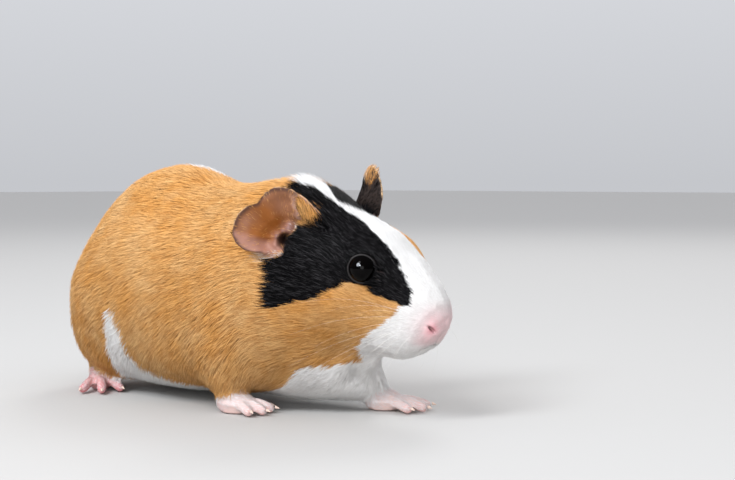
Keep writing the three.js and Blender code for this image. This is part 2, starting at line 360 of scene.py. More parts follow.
partOf = nearestParts(points)
fineShare = shareOf(earNodes + footNodes, 10)
for _ in range(skinSize["smoothFine"]):  # out and back, so that thin parts keep their thickness
    points = relax(points, skinEnds, 1, 0.6)
    points = relax(points, skinEnds, 1, -0.62 * fineShare)
points = relax(points, skinEnds, skinSize["smoothBody"], 0.5 * (1 - fineShare) ** 2)
setPoints(skinMesh, points)
depth = depthOver(points, normalsOf(skinMesh))
flapShare = shareOf(earNodes, 4)
sink = depth * mm + skinSize["join"] * (1 - 0.9 * flapShare)
points = points - normalsOf(skinMesh) * sink[:, None]
points = relax(points, skinEnds, 3, 0.4 * (1 - fineShare))
setPoints(skinMesh, points)
for _ in range(2):  # smoothing shrinks the body: this puts the skin back at its depth
    short = (coverOver(points) - depth * mm) * (1 - fineShare)
    points = points + normalsOf(skinMesh) * relax(short, skinEnds, 12)[:, None]
    setPoints(skinMesh, points)
points = relax(points, skinEnds, 9, 0.5 * flapShare)
setPoints(skinMesh, points)
print("skin laid under the coat")

eyeShape = {
    "axis": (0.44, 0.86, 0.22),  # in the head's frame, on the left
    "opening": 59.0,  # degrees from the axis to the edge of the lids
    "almond": 4.0,  # degrees longer along the face
    "lid": 0.42,  # millimetres proud of the ball
    "lidWidth": 8.0,
    "fade": 30.0,
    "tuck": 1.2,  # how far the skin goes under the ball inside the opening
    "crease": 0.25,
    "reach": 10.0,
    "cornea": 0.35,
}


def eyeAxis(node):
    axis = np.array(eyeShape["axis"])
    if node.endswith("right"):
        axis = axis * [1, -1, 1]
    return unit(headAxes @ axis)


# Offsets from the middle of an eye, their lengths, and their angles from its axis.
def eyePlaces(points, node):
    offset = points - eyeMiddles[node]
    far = np.maximum(np.linalg.norm(offset, axis=1), 1e-9)
    return offset, far, np.degrees(np.arccos(np.clip((offset @ eyeAxis(node)) / far, -1, 1)))


# Cuts in four each triangle whose middle is chosen.
def refined(mesh, chosen):
    cut = bmesh.new()
    cut.from_mesh(mesh)
    cut.faces.ensure_lookup_table()
    middles = np.array([face.calc_center_median() for face in cut.faces])
    picked = [cut.faces[i] for i in np.nonzero(chosen(middles))[0]]
    edges = list({edge for face in picked for edge in face.edges})
    bmesh.ops.subdivide_edges(cut, edges=edges, cuts=1, use_grid_fill=True)
    bmesh.ops.triangulate(cut, faces=[face for face in cut.faces if len(face.verts) > 3])
    cut.to_mesh(mesh)
    cut.free()


def nearEyes(places):
    far = [np.linalg.norm(places - middle, axis=1) for middle in eyeMiddles.values()]
    return np.min(far, axis=0) < 7.8 * mm


def nearNose(places):
    head = toHead(places) / mm
    return (head[:, 0] > 58) & (head[:, 2] > -22)


def nearCanals(places):
    found = np.zeros(len(places), bool)
    for side in ("right", "left"):
        forward, lower, outward, _ = earPlaces(places, side)
        found |= (np.hypot(forward, lower) < 6) & (np.abs(outward) < 6)
    return found


refined(skinMesh, lambda places: nearEyes(places) | nearNose(places) | nearCanals(places))
skinEnds = readArray(skinMesh.edges, "vertices", 2, np.int32)
points = pointsOf(skinMesh)
for node, middle in eyeMiddles.items():
    axis = eyeAxis(node)
    offset, far, angle = eyePlaces(points, node)
    along = headAxes @ np.array([0.9, 0, -0.25])
    lengthwise = np.abs(unit(offset - (offset @ axis)[:, None] * axis) @ along)
    opening = eyeShape["opening"] + eyeShape["almond"] * (lengthwise ** 3 - 0.3)
    ball = headShape["eyeRadius"]
    lidWidth = eyeShape["lidWidth"]
    rim = ball + eyeShape["lid"] * mm * bump(angle - opening, lidWidth * 0.45, lidWidth * 0.55)
    under = ball - eyeShape["tuck"] * mm
    wanted = under + (rim - under) * ramp(angle, opening - 5, opening + 1)
    wanted -= eyeShape["crease"] * mm * bump(angle, opening + 17, 5)
    fade = ramp(angle, opening + lidWidth, opening + eyeShape["fade"])
    close = (far < eyeShape["reach"] * mm) & (angle < 120)
    mixed = np.where(close, wanted + (far - wanted) * fade, far)
    points = middle + offset * (mixed / far)[:, None]
setPoints(skinMesh, points)
print("lids shaped")

# In the head's frame, in millimetres.
noseShape = {
    "nostril": (65.2, 6.0, -9.5),
    "nostrilSize": (1.35, 0.45),  # along its slant and across it
    "nostrilDepth": 2.4,
    "wing": 0.35,  # how far the skin stands up round the nostril
    "wingSize": (3.2, 2.2),
    "split": 0.55,  # of the upper lip
    "mouthDrop": -17.5,
    "mouth": 1.2,
}


# Slantwise and crosswise from the nearer nostril, and the distance from it, for places on the head.
def nostrilPlaces(head):
    away = head - noseShape["nostril"]
    away[:, 1] = np.abs(head[:, 1]) - noseShape["nostril"][1]
    slant = away[:, 1] * 0.8 + away[:, 2] * 0.6
    return slant, away[:, 1] * -0.6 + away[:, 2] * 0.8, np.linalg.norm(away, axis=1)


def mouthLine(head, width):
    line = bump(head[:, 2], noseShape["mouthDrop"] - 0.05 * head[:, 1] ** 2, width)
    return line * ramp(np.abs(head[:, 1]), 7, 4) * (head[:, 0] > 50)


def shapeNose(points, normals):
    head = toHead(points) / mm
    x, y, z = head.T
    slant, cross, _ = nostrilPlaces(head)
    pit = blob(*zip((slant, cross), noseShape["nostrilSize"]))
    sink = noseShape["nostrilDepth"] * pit * (x > 60)
    sink -= noseShape["wing"] * blob(*zip((slant, cross), noseShape["wingSize"])) * (x > 60) * (1 - pit)
    sink += noseShape["split"] * bump(y, 0, 0.55) * ramp(z, -8, -11) * ramp(z, -20, -17) * (x > 52)
    sink += noseShape["mouth"] * mouthLine(head, 0.6)
    return points - normals * (sink * mm)[:, None]


earFolds = {
    # ridges across the flap: height, angle, width in degrees, from and to in shares of the reach
    "ridges": [
        (1.0, 128, 13, 0.3, 0.9), (-0.9, 104, 14, 0.3, 0.85),
        (-0.7, 158, 15, 0.35, 0.9), (0.8, 196, 9, 0.2, 0.7),
    ],
    # lumps round the canal: forward, down, height, size
    "lumps": [
        (1.2, -5.2, 2.2, 1.9), (-1.9, -0.2, 1.5, 1.3), (-1.3, 2.8, 1.1, 1.4),
        (2.0, 3.8, 1.2, 1.3), (4.6, 1.6, 1.0, 1.2), (-0.5, -3.0, 0.9, 1.1),
    ],
    "canal": (1.6, 0.2),
    "canalDepth": 6.0,
    "canalWidth": 2.3,
    "front": 4.0,
    "frontSlope": 0.32,
    "bottom": 8.0,
    "frontEnd": (15, -10.5, 5.7),  # of the flap: forward, down and outward
}


# Hair over the front of the near flap: tan, then black, ahead of these places for each drop from the canal.
earHair = {
    "at": [-20, -16, -12, -8, -4, 0],
    "gold": [-1.5, -0.5, 1.8, 4.2, 5.0, 5.0],
    "dark": [9, 8.5, 7.5, 5.8, 5.2, 5.2],
}


def fromCanal(forward, lower):
    return np.hypot(forward - earFolds["canal"][0], lower - earFolds["canal"][1])


# How far the flap reaches from the canal at each angle, read from the places that belong to it.
def rimReach(reach, angle, held):
    stops = np.arange(-90, 271, 5)
    longest = np.array([reach[held & (np.abs(angle - stop) < 4)].max(initial=0) for stop in stops])
    return np.interp(angle, stops, longest)


# Shares, on one ear, of the bare inside, the furred back, the canal, the rim line and the pale edge.
def earZones(points, normals, side):
    forward, lower, outward, angle = earPlaces(points, side)
    reach = np.hypot(forward, lower)
    near = (reach < 27) & (np.abs(outward) < 17)
    gap = rimReach(reach, angle, near & (flapShare > 0.6)) - reach
    facing = ramp(normals @ earFacing(side), -0.15, 0.3)
    flap = flapShare * near
    front = earFolds["front"] + earFolds["frontSlope"] * np.clip(-lower - 3, 0, 13)
    bottom = earFolds["bottom"]
    hollow = ramp(forward, front + 0.7, front - 0.7) * near
    hollow = hollow * ramp(lower + 0.6 * forward, bottom + 0.7, bottom - 0.7)
    hollow = hollow * ramp(np.maximum(gap, 9.5 - reach), -1.5, 1.0) * ramp(reach, 15, 11)
    inside = np.maximum(flap, hollow) * facing
    bare = np.interp(lower, earHair["at"], earHair["gold"]) + 2.4 * (noise(points, 1.3 * mm, 9) - 0.5)
    gold = flap * facing * ramp(forward, bare - 1.6, bare + 2.2) * (side == "right")
    dark = np.interp(lower, earHair["at"], earHair["dark"])
    mixed = 0.3 + 0.3 * ramp(lower, -14, -9)
    over = gold * (mixed + (1 - mixed) * ramp(forward, dark - 0.5, dark + 0.5))
    inside = inside * (1 - gold)
    rimEnd = 1 - ramp(forward, 6, 8) * ramp(lower, -13, -10) * (side == "right")  # fur hides the rim in front
    return {
        "inside": inside,
        "gold": gold,
        "over": over,
        "back": flap * (1 - facing),
        "canal": near * facing * np.exp(-((fromCanal(forward, lower) / 2.9) ** 4)),
        "line": flap * facing * ramp(gap, 2.6, 0.9) * ramp(gap, 0.3, 0.6) * rimEnd,
        "edge": flap * ramp(gap, 0.5, 0.25) * rimEnd,
        "forward": forward, "lower": lower, "outward": outward,
        "angle": angle, "reach": reach, "gap": gap, "near": near,
    }


def shapeEars(points, normals):
    moved = points.copy()
    for side in ("right", "left"):
        facing = earFacing(side)
        forward, lower, outward, angle = earPlaces(points, side)
        reach = np.hypot(forward, lower)
        share = reach / earShape["rim"]
        onEar = (reach < 25) & (np.abs(outward) < 14)
        inner = ramp(normals @ facing, 0.0, 0.5) * onEar
        rise = np.zeros(len(points))
        for height, middle, width, start, end in earFolds["ridges"]:
            within = ramp(share, start - 0.1, start + 0.1) * ramp(share, end + 0.1, end - 0.1)
            rise += height * bump(angle, middle, width) * within
        for ahead, down, height, size in earFolds["lumps"]:
            rise += height * blob((forward - ahead, size), (lower - down, size))
        deep = np.exp(-((fromCanal(forward, lower) / earFolds["canalWidth"]) ** 3))
        rise -= earFolds["canalDepth"] * deep
        moved += facing * (rise * inner * mm)[:, None]
    return moved


points = pointsOf(skinMesh)
normals = normalsOf(skinMesh)
points = shapeNose(points, normals)
points = shapeEars(points, normals)
for side in ("right", "left"):  # the flap's front end lies flat under the fur
    off = np.stack(earPlaces(points, side)[:3], axis=1) - earFolds["frontEnd"]
    points = relax(points, skinEnds, 40, 0.5 * bump(np.linalg.norm(off, axis=1), 0, 3.0))
setPoints(skinMesh, points)
skinMesh.shade_smooth()
partOf = nearestParts(points)
flapShare = shareOf(earNodes, 2)
print("nose and ears shaped")

markings = {
    # the blaze: distances from the middle of the face to its edges, for places from nape to nose
    "blazeAt": [-22, -16, -8, 0, 4, 8, 11, 14, 17, 24, 34, 44, 54, 60],
    "blazeRight": [-3, -4.5, -5.2, -4.9, -5.1, -5.1, -4.9, -4.7, -4.7, -5.4, -8.1, -8.4, -9.1, -14],
    "blazeLeft": [4, 6, 6, 1, -1.6, -3.3, -2.6, 0, 3.3, 5.4, 5.5, 5, 7, 14],
    # the white muzzle starts in front of this line down the cheek
    "cheekAt": [-28, -21, -16, -11.4, -8.7, -5.3, -3, 2],
    "cheek": [39, 43.2, 46.7, 50, 52.2, 51.7, 57, 66],
    # patches in side view: forward and up
    "blackRight": [(58, -3), (53.4, -4.8), (45.4, -4.6), (40.9, -4.4), (38.6, -3), (35, -3.6), (31.4, -4.2),
                   (28.3, -8.3), (21.6, -15), (10, -23), (5, -26.2), (2.5, -19), (0.5, -12), (-3, -6),
                   (-9, 4), (-12.5, 12), (-13, 40), (70, 40), (64, 2)],
    "blackLeft": [(27, 40), (29, 10), (26, 0), (16, -8), (4, -12), (-4, -8), (-9, 0), (-13, 14), (-12, 40)],
    # in the frame of the body
    "fold": [(-45.5, 37), (-41, 34.5), (-39, 30), (-38.5, 24), (-37, 18.5), (-33, 13.5),
             (-26, 10), (-17, 7.6), (-6, 6), (8, 5), (16, -9), (-52, -9), (-52, 12),
             (-51, 19), (-49, 25), (-48, 31), (-47.5, 35)],
    "spot": (-36, 11, 12, 10),  # on the left of the back: middle and half sizes
    "ragged": 1.3,
}


# Distance to a closed outline, negative inside it.
def outlineDistance(across, up, outline):
    corners = np.array(outline, float)
    nearest = np.full(len(across), 1e9)
    inside = np.zeros(len(across), bool)
    for (x1, z1), (x2, z2) in zip(corners, np.roll(corners, -1, axis=0)):
        wide, high = x2 - x1, z2 - z1
        along = np.clip(((across - x1) * wide + (up - z1) * high) / (wide ** 2 + high ** 2), 0, 1)
        nearest = np.minimum(nearest, np.hypot(across - x1 - along * wide, up - z1 - along * high))
        crosses = (z1 > up) != (z2 > up)
        inside ^= crosses & (across < wide * (up - z1) / np.where(crosses, high, 1) + x1)
    return np.where(inside, -nearest, nearest)


def markShares(points, isHead):
    x, y, z = (toHead(points) / mm).T
    ahead, aside, up = (points / mm).T
    ragged = markings["ragged"] * (noise(points, 2.6 * mm, 1) + 0.5 * noise(points, 1.1 * mm, 2) - 0.75)
    soft = 0.45

    def within(distance):
        return ramp(-(distance + ragged), -soft, soft)

    right = np.interp(x, markings["blazeAt"], markings["blazeRight"])
    left = np.interp(x, markings["blazeAt"], markings["blazeLeft"])
    blaze = within(np.maximum(right - y, y - left)) * ramp(z, -12, -8) * ramp(x, -17.5, -14)
    muzzle = within(np.interp(z, markings["cheekAt"], markings["cheek"]) - x) * isHead
    throat = within(np.maximum(up - 21 + 0.25 * np.maximum(-aside, 0), -12 - aside)) * (ahead > 12)
    farLeg = within(np.maximum(up - 24, 12 - aside)) * (ahead > 20) * (1 - isHead)
    fold = within(outlineDistance(ahead, up, markings["fold"])) * (1 - isHead)
    under = within(up - 5.5) * (np.abs(ahead) < 60)
    middleX, middleY, halfX, halfY = markings["spot"]
    off = np.hypot((ahead - middleX) / halfX, (aside - middleY) / halfY) - 1
    spot = within(off * min(halfX, halfY)) * (up > 60)
    white = np.max([blaze, muzzle, throat, farLeg, fold, under, spot], axis=0)
    blackRight = within(outlineDistance(x, z, markings["blackRight"])) * (y < 0)
    blackLeft = within(outlineDistance(x, z, markings["blackLeft"])) * (y >= 0)
    black = np.clip(blackRight + blackLeft, 0, 1) * ramp(x, -18, -15) * (up > 35)
    return white, black


isHead = belonging(headNodes + eyeNodes + earNodes).astype(float)
footShare = shareOf(footNodes, 5)
head = toHead(points) / mm
normals = normalsOf(skinMesh)
ears = {side: earZones(points, normals, side) for side in ("right", "left")}


def overEars(zone):
    return np.maximum(ears["right"][zone], ears["left"][zone])


# Bare skin is painted layer on layer: a share of each point and its colour.
tints = {
    "nose": (0.86, 0.56, 0.57), "noseDeep": (0.78, 0.32, 0.36),
    # the nostril: the skin's dark red, deepened with painted shade in the pit
    "nostril": (0.055, 0.004, 0.008), "lip": (0.62, 0.30, 0.30),
    "lid": (0.014, 0.012, 0.012), "lidEdge": (0.15, 0.125, 0.115),
    "foot": (0.84, 0.62, 0.57), "toe": (0.82, 0.50, 0.46),
    "hindFoot": (0.72, 0.34, 0.33), "hindToe": (0.66, 0.24, 0.25),
    # the inside of an ear, its folds and its rim; the canal's near black is painted shade in the hole
    "mauve": (0.22, 0.092, 0.048), "gold": (0.31, 0.095, 0.014), "earPink": (0.34, 0.15, 0.085),
    "fold": (0.44, 0.22, 0.17), "knob": (0.30, 0.17, 0.16), "canal": (0.012, 0.007, 0.008),
    "rimLine": (0.05, 0.02, 0.015), "edge": (0.80, 0.52, 0.28), "back": (0.05, 0.035, 0.03),
}
tint = np.tile(np.array(tints["nose"]), (len(points), 1))
tinted = np.zeros(len(points))


def paint(share, colour):
    global tinted
    tint[:] = tint + (np.array(tints[colour]) - tint) * np.clip(share, 0, 1)[:, None]
    tinted = np.maximum(tinted, share)


slant, cross, fromNostril = nostrilPlaces(head)
front = ramp(head[:, 0], 58.5, 64.5) * ramp(head[:, 2], 2, -6) * ramp(head[:, 2], -19, -14)
nosePad = np.maximum(front * 0.85, bump(fromNostril, 0, 6.0))
paint(nosePad, "nose")
paint(0.8 * bump(fromNostril, 0, 3.2), "noseDeep")
# the nostril's dark red, deepened to nearly black: partly the skin's own colour, partly painted shade in the
# pit
paint(blob((slant, 1.45), (cross, 0.62)) * (head[:, 0] > 58), "nostril")
paint(0.8 * mouthLine(head, 0.7), "lip")
paint(footShare, "foot")
hindShare = footShare * (points[:, 0] < 0)
paint(hindShare, "hindFoot")
for node in clawNodes:
    close = footShare * ramp(np.linalg.norm(points - middleOf(node), axis=1) / mm, 7, 3)
    paint(close, "hindToe" if node.startswith("hind") else "toe")
heel = middleOf("fore_foot_right") + np.array([-8, -4, -2.5]) * mm
paint(0.8 * footShare * bump(np.linalg.norm(points - heel, axis=1) / mm, 0, 4.5), "hindToe")
patchy = noise(points, 3.2 * mm, 8)
paint(overEars("inside"), "mauve")
for zones in ears.values():
    share = zones["inside"]
    paint(share * bump(zones["angle"], 142, 46) * bump(zones["reach"], 8.5, 8) * (0.8 + 0.8 * patchy), "gold")
    paint(share * bump(zones["angle"], 194, 32) * bump(zones["reach"], 9, 7) * (0.5 + 0.8 * patchy), "gold")
    paint(share * bump(zones["angle"], 176, 16) * bump(zones["gap"], 4, 2) * 0.8, "earPink")
    paint(share * bump(zones["angle"], 108, 16) * bump(zones["reach"], 13, 4) * 0.7, "earPink")
    paint(share * ramp(zones["lower"], 1.5, 4.5) * 0.7, "fold")
    for ahead, down, _, size in earFolds["lumps"]:
        close = blob((zones["forward"] - ahead, size), (zones["lower"] - down, size))
        paint(share * close * 0.75, "knob" if down < 1 else "fold")
paint(overEars("back"), "back")
paint(overEars("line") * 0.8, "rimLine")
paint(overEars("edge") * 0.8, "edge")
# painted shade: the ear's canal is painted near black, as its hole lies in shade
paint(overEars("canal"), "canal")
lidShare, lidEdge = np.zeros((2, len(points)))
lidStart = eyeShape["opening"] + 7
for node in eyeNodes:
    _, far, angle = eyePlaces(points, node)
    close = far < 9 * mm
    lidShare = np.maximum(lidShare, ramp(angle, lidStart + 4, lidStart) * close)
    lidEdge = np.maximum(lidEdge, bump(angle, lidStart, 2.4) * close)
paint(lidShare, "lid")
paint(lidEdge * (0.35 + 0.9 * noise(points, 2.4 * mm, 11)), "lidEdge")
tinted = np.clip(tinted, 0, 1)
# Where feet and ears have their own colours, these shares replace the markings.
earBack = overEars("back")
hollow = np.clip(overEars("inside"), 0, 1)
own = np.max([footShare, earBack, hollow, overEars("gold")], axis=0)
farTip = np.zeros(len(points))
ownWhite, ownBlack = footShare.copy(), np.zeros(len(points))
for side, zones in ears.items():  # black backs with tan tips, and tan hair before the near ear
    tan = zones["near"] * ramp(zones["gap"], 9, 6) * ramp(zones["lower"], -10, -14)
    if side == "left":
        tan = tan * ramp(zones["forward"], 2.5, -0.5)
        farTip = flapShare * zones["near"] * ramp(zones["lower"], -7, -13) * ramp(zones["forward"], 3, -2)
    ownBlack = np.maximum(ownBlack, zones["back"] * (1 - tan))
    lock = np.exp(-((zones["forward"] - 6.5) / 4.2) ** 4 - ((zones["lower"] + 12.5) / 4.8) ** 4)
    lock = lock * zones["near"] * ramp(zones["outward"], -3.5, -1) * (side == "right")
    own = np.maximum(own, lock)
    ownBlack = np.maximum(ownBlack * (1 - lock), zones["over"])
    tragus = blob((zones["forward"] - 3.8, 2.2), (zones["lower"] + 6, 1.8)) * zones["near"]
    tragus = tragus * (flapShare < 0.9) * ramp(zones["outward"], -2, 0) * (side == "right")
    below = 0.5 * zones["inside"] * ramp(zones["lower"] + 0.6 * zones["forward"], 3, 5)
    own = np.maximum(own, tragus)
    ownWhite = np.maximum(ownWhite, np.maximum(tragus, below))
store(skinMesh, "tint", tint * tinted[:, None], "FLOAT_VECTOR")


# The way the hair lies at each point.
def lieOver(points, normals):
    head = toHead(points) / mm
    onHead = unit(head - [70, 0, -6]) @ headAxes.T  # away from the nose
    body = points / mm
    flank = ramp(body[:, 2], 85, 25)
    sideways = 0.25 * np.sign(body[:, 1]) * (1 - flank)
    backwards = np.stack([-np.ones(len(points)), sideways, -0.15 - 0.75 * flank], axis=1)
    low = ramp(body[:, 2], 30, 12)
    backwards += low[:, None] * [0.2, 0, -0.8]
    mix = ramp(head[:, 0], -12, 14) * belonging(headNodes + eyeNodes + earNodes + ["neck"])
    mix = mix[:, None]
    lie = unit(backwards) * (1 - mix) + onHead * mix
    feet = shareOf(footNodes, 4)[:, None]
    toes = np.zeros_like(lie)
    for name in legNames:
        claws = [middleOf(node) for node in clawNodes if node.startswith(name.replace("_", "_claw_"))]
        foot = name.replace("_", "_foot_")
        toes[insideBox(points, foot, 2 * mm)] = unit(np.mean(claws, axis=0) - middleOf(foot))
    lie = lie * (1 - feet) + toes * feet
    for side, zones in ears.items():  # over the flap the hair points to the rim
        canal = np.array(earShape["canal"]) * [1, -1 if side == "right" else 1, 1]
        rimward = unit(points - fromHead(canal * mm))
        sweep = unit(0.55 * earAxes(side)[0] + 0.83 * earAxes(side)[1])
        gold = zones["gold"][:, None]
        share = (flapShare * zones["near"])[:, None]
        lie = lie * (1 - share) + (rimward * (1 - gold) + sweep * gold) * share
    lie = lie - np.sum(lie * normals, axis=1, keepdims=True) * normals
    lie = relax(unit(lie), skinEnds, 8)
    lie = unit(lie - np.sum(lie * normals, axis=1, keepdims=True) * normals)
    wander = 0.36 * (noise(points, 7 * mm, 5) - 0.5) + 0.3 * (noise(points, 2.5 * mm, 6) - 0.5)
    side = np.cross(normals, lie)
    return unit(lie * np.cos(wander)[:, None] + side * np.sin(wander)[:, None])


lie = lieOver(points, normals)
depth = depthOver(points, normals)
lift = relax(np.clip(coverOver(points) / mm, 0.1, 5), skinEnds, 4)
lift = np.minimum(lift, depth * 1.35 + 0.1) * (1 - lidShare) + 0.3 * lidShare
nape = bump(head[:, 0], -6, 9) * bump(head[:, 1], 3, 9) * (head[:, 2] > 10)
# a thick lock behind the left ear and one on the rump
behindEar = bump(head[:, 0], -3, 8) * bump(head[:, 1], 15, 5) * (1 - flapShare)
rump = bump(points[:, 0] / mm, -36, 11) * bump(points[:, 1] / mm, 11, 9) * (points[:, 2] > 60 * mm)
lift = lift + 2.2 * nape + 0.7 * overEars("gold") + 3.0 * behindEar + 1.5 * farTip * earBack
lift = lift + 1.4 * rump
lengths = np.clip(2.2 + 2.6 * depth, 2.0, 11)
shorter = 1.6 + 0.12 * np.maximum(64 - head[:, 0], 0)  # towards the nose
lengths = np.where(head[:, 0] > 52, np.minimum(lengths, shorter), lengths)
widths = np.clip(0.10 + 0.07 * depth, 0.12, 0.30)
cover = 1 - 0.58 * footShare - 0.2 * hindShare
cover *= (1 - lidShare) * ramp(fromNostril, 1.6, 5.5) * (1 - 0.3 * nosePad)
cover *= 1 - 0.97 * footShare * ramp(normals[:, 2], -0.1, -0.5)  # bare soles
cover *= (1 - overEars("canal")) * (1 - 0.86 * hollow)
for zones in ears.values():
    ahead = np.clip(zones["forward"] - 3.5, 0, 20)
    byEar = zones["near"] * (1 - flapShare) * ramp(zones["lower"], 9, 5) * (zones["outward"] > 0)
    lengths = np.where(byEar > 0.5, np.minimum(lengths, 1.6 + 0.6 * ahead), lengths)
    thinner = ramp(fromCanal(zones["forward"], zones["lower"]), 2.2, 3.4)
    thinner = thinner * (1 - 0.7 * zones["inside"] * ramp(zones["reach"], 9, 6))
    cover = cover * np.where(zones["near"], thinner, 1)
    cover = cover + 0.45 * zones["inside"] * ramp(zones["lower"] + 0.5 * zones["forward"], 4, 6)
lengths = lengths * (1 - flapShare) + (2.4 + 2.8 * overEars("gold")) * flapShare
widths = widths * (1 - hollow) + 0.07 * hollow
# The skin takes the colours of the hair that lies over it.
white, black = markShares(points + (normals * lift[:, None] + lie * 0.3 * lengths[:, None]) * mm, isHead)
white = white * (1 - own) + ownWhite
black = black * (1 - own) + ownBlack
blush = np.clip(0.75 * nosePad + 0.3 * footShare + 0.4 * hindShare, 0, 1)
stored = {
    "white": white, "black": black, "tinted": tinted, "blush": blush, "isHead": isHead,
    "own": own, "ownWhite": ownWhite, "ownBlack": ownBlack,
    "coatDepth": lift * mm, "coatLength": lengths * mm, "coatWidth": widths * mm,
}
for name, values in stored.items():
    store(skinMesh, name, values)
store(skinMesh, "lie", lie, "FLOAT_VECTOR")
store(skinMesh, "skinNormal", normals, "FLOAT_VECTOR")
print("markings and lie of the coat stored")

skinPiece = pieceFrom("skin", skinMesh)
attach(skinPiece, "root")
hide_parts(*fleshNodes)
print("skin", len(skinMesh.polygons))


def addNode(tree, kind, inputs=None, **settings):
    made = tree.nodes.new(kind)
    for key, value in settings.items():
        setattr(made, key, value)
    for key, value in (inputs or {}).items():
        socket = made.inputs[key]
        if isinstance(value, bpy.types.NodeSocket):
            tree.links.new(value, socket)
        else:
            socket.default_value = value
    return made


def mathNode(tree, operation, *values):
    return addNode(tree, "ShaderNodeMath", dict(enumerate(values)), operation=operation).outputs[0]


def vectorNode(tree, operation, *values):
    inputs = dict(enumerate(values))
    if operation == "SCALE":
        inputs["Scale"] = inputs.pop(1)
    return addNode(tree, "ShaderNodeVectorMath", inputs, operation=operation).outputs["Vector"]


def rangeNode(tree, value, low, high, start=0.0, end=1.0):
    inputs = {"Value": value, "From Min": low, "From Max": high, "To Min": start, "To Max": end}
    return addNode(tree, "ShaderNodeMapRange", inputs).outputs[0]


def noiseNode(tree, place, scale, detail):
    inputs = {"Vector": place, "Scale": scale, "Detail": detail}
    return addNode(tree, "ShaderNodeTexNoise", inputs).outputs["Fac"]


def mixColour(tree, share, one, other, blend="MIX"):
    made = addNode(tree, "ShaderNodeMix", {0: share, 6: one, 7: other}, data_type="RGBA", blend_type=blend)
    return made.outputs[2]


def attributeNode(tree, name):
    return addNode(tree, "ShaderNodeAttribute", attribute_name=name).outputs["Fac"]


coatColours = {
    "orangeLight": (0.90, 0.45, 0.137, 1), "orangeDark": (0.48, 0.185, 0.038, 1),
    "cream": (0.94, 0.56, 0.235, 1), "rose": (0.54, 0.25, 0.085, 1),
    "whiteLight": (0.85, 0.84, 0.825, 1), "whiteDark": (0.72, 0.695, 0.675, 1),
    # rare strands in the black are lighter and bluish grey: partly grey hair, partly painted sheen
    "blackGreyAndSheen": (0.032, 0.030, 0.032, 1), "blackDark": (0.001, 0.001, 0.0013, 1),
    "blush": (1.0, 0.67, 0.70, 1),  # what hair over the nose and feet takes from the skin
}


def coatColourGroup():
    tree = bpy.data.node_groups.new("coatColour", "ShaderNodeTree")
    for name in ("White", "Black", "Shade"):
        tree.interface.new_socket(name, in_out="INPUT", socket_type="NodeSocketFloat")
    tree.interface.new_socket("Color", in_out="OUTPUT", socket_type="NodeSocketColor")
    start = addNode(tree, "NodeGroupInput")
    shade = start.outputs["Shade"]
    place = addNode(tree, "ShaderNodeTexCoord").outputs["Object"]
    broad = mathNode(tree, "MULTIPLY", noiseNode(tree, place, 55.0, 2.0), 0.65)
    close = mathNode(tree, "MULTIPLY", noiseNode(tree, place, 170.0, 1.0), 0.35)
    tone = rangeNode(tree, mathNode(tree, "ADD", broad, close), 0.36, 0.64)
    light = mixColour(tree, tone, coatColours["orangeLight"], coatColours["cream"])
    dark = mixColour(tree, tone, coatColours["orangeDark"], coatColours["rose"])
    height = addNode(tree, "ShaderNodeSeparateXYZ", {0: place}).outputs["Z"]
    # painted shade: the orange darkens low on the body, where the coat lies in shade
    shadedLow = rangeNode(tree, height, 0.02, 0.075, 0.70, 0.92)  # low on the body
    orange = vectorNode(tree, "SCALE", mixColour(tree, shade, dark, light), shadedLow)
    white = mixColour(tree, shade, coatColours["whiteDark"], coatColours["whiteLight"])
    # rare strands in the black: partly grey hair, partly painted sheen
    gloss = mathNode(tree, "POWER", shade, 10.0)
    black = mixColour(tree, gloss, coatColours["blackDark"], coatColours["blackGreyAndSheen"])
    mixed = mixColour(tree, start.outputs["Black"], orange, black)
    mixed = mixColour(tree, start.outputs["White"], mixed, white)
    addNode(tree, "NodeGroupOutput", {"Color": mixed})
    return tree


coatColour = coatColourGroup()


def newMaterial(name):
    made = bpy.data.materials.new(name)
    made.use_nodes = True
    return made, made.node_tree, made.node_tree.nodes["Principled BSDF"]


def coatMaterial():
    made, tree, surface = newMaterial("coat")
    along = mathNode(tree, "MULTIPLY", attributeNode(tree, "along"), 0.35)
    shade = mathNode(tree, "ADD", attributeNode(tree, "shade"), along)
    shade = addNode(tree, "ShaderNodeClamp", {"Value": mathNode(tree, "SUBTRACT", shade, 0.12)}).outputs[0]
    group = addNode(tree, "ShaderNodeGroup", node_tree=coatColour)
    stray = mathNode(tree, "SUBTRACT", attributeNode(tree, "stray"), 0.5)
    stray = mathNode(tree, "MULTIPLY", stray, 0.7)
    for name in ("White", "Black"):
        share = mathNode(tree, "ADD", attributeNode(tree, name.lower()), stray)
        tree.links.new(rangeNode(tree, share, 0.4, 0.6), group.inputs[name])
    tree.links.new(shade, group.inputs["Shade"])
    blushed = mixColour(tree, attributeNode(tree, "blush"), (1, 1, 1, 1), coatColours["blush"])
    colour = mixColour(tree, 1.0, group.outputs["Color"], blushed, "MULTIPLY")
    tree.links.new(colour, surface.inputs["Base Color"])
    surface.inputs["Roughness"].default_value = 0.55
    surface.inputs["Specular IOR Level"].default_value = 0.06
    return made


coatSurface = coatMaterial()


